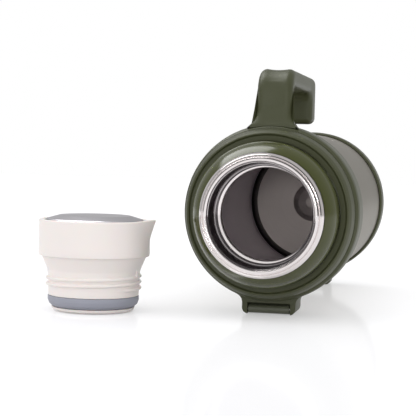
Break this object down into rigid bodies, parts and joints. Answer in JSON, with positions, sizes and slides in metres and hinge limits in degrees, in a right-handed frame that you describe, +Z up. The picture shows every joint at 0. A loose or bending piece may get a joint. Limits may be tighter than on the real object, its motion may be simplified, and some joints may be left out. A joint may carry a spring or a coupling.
{
  "type": "vacuum flask",
  "caption": "Steel vacuum flask with a moulded carrying handle and strap lugs, lying on its side, and its push-button pouring stopper standing beside it.",
  "frame": {"origin": "on the surface that everything stands on, under the middle of the whole group's box", "axes": "+Z up; the flask lies along Y with its mouth towards -Y and its handle up; the stopper stands on the -X side"},
  "size_m": [0.1736, 0.239, 0.1348],
  "materials": {
    "body_steel": "warm grey stainless steel, fine satin",
    "liner_steel": "stainless steel, polished lip, matt electropolished inside",
    "bright_steel": "bright stainless steel",
    "copper_foil": "thin bright copper foil",
    "getter_alloy": "sintered grey alloy",
    "solder_glass": "dark fused glass",
    "matte_green": "olive polypropylene, fine matt grain",
    "gloss_green": "olive polypropylene, polished",
    "cream": "cream polypropylene, satin",
    "white_inner": "white polypropylene, satin",
    "grey_silicone": "grey silicone rubber",
    "button_silver": "satin silver"
  },
  "bodies": {
    "flask": {"inner_bottle": "liner_steel", "bottle_neck": "liner_steel", "inner_bottom": "liner_steel", "outer_shell": "body_steel", "outer_bottom": "body_steel", "evacuation_seal": "solder_glass", "radiation_foil": "copper_foil", "getter_pill": "getter_alloy", "neck_ring": "gloss_green", "neck_packing": "grey_silicone", "shoulder_ring": "matte_green", "handle_band": "matte_green", "strap_pin": "bright_steel", "base_ring": "matte_green", "base_cover": "matte_green"},
    "roller": {"strap_roller": "matte_green"},
    "stopper": {"stopper_body": "cream", "plug_seal": "grey_silicone", "seal_holder": "cream", "stem_seal": "grey_silicone", "return_spring": "bright_steel"},
    "button": {"button_cap": "button_silver", "button_base": "white_inner", "valve_stem": "bright_steel", "valve_disc": "white_inner", "valve_gasket": "grey_silicone"},
    "latch": {"latch_ring": "white_inner"}
  },
  "joints": [
    {"name": "stopper_lift", "type": "slide", "parent": "flask", "child": "stopper", "axis": [0, 0, 1], "range_m": [0, 0.12]},
    {"name": "button_press", "type": "slide", "parent": "stopper", "child": "button", "axis": [0, 0, -1], "range_m": [0, 0.004], "stiffness_N_per_m": 600, "springref_m": -0.008, "deforming": ["return_spring"]},
    {"name": "latch_turn", "type": "hinge", "parent": "button", "child": "latch", "pos_m": [-0.05635, -0.0891, 0.033], "axis": [0, 0, 1], "range_deg": [0, 45]},
    {"name": "strap_roller_spin", "type": "hinge", "parent": "flask", "child": "roller", "pos_m": [0.03835, -0.0691, 0.0027], "axis": [1, 0, 0], "continuous": true}
  ],
  "couplings": [
    {"joint": "latch_turn", "follows": "button_press", "rad_per_m": 196}
  ]
}
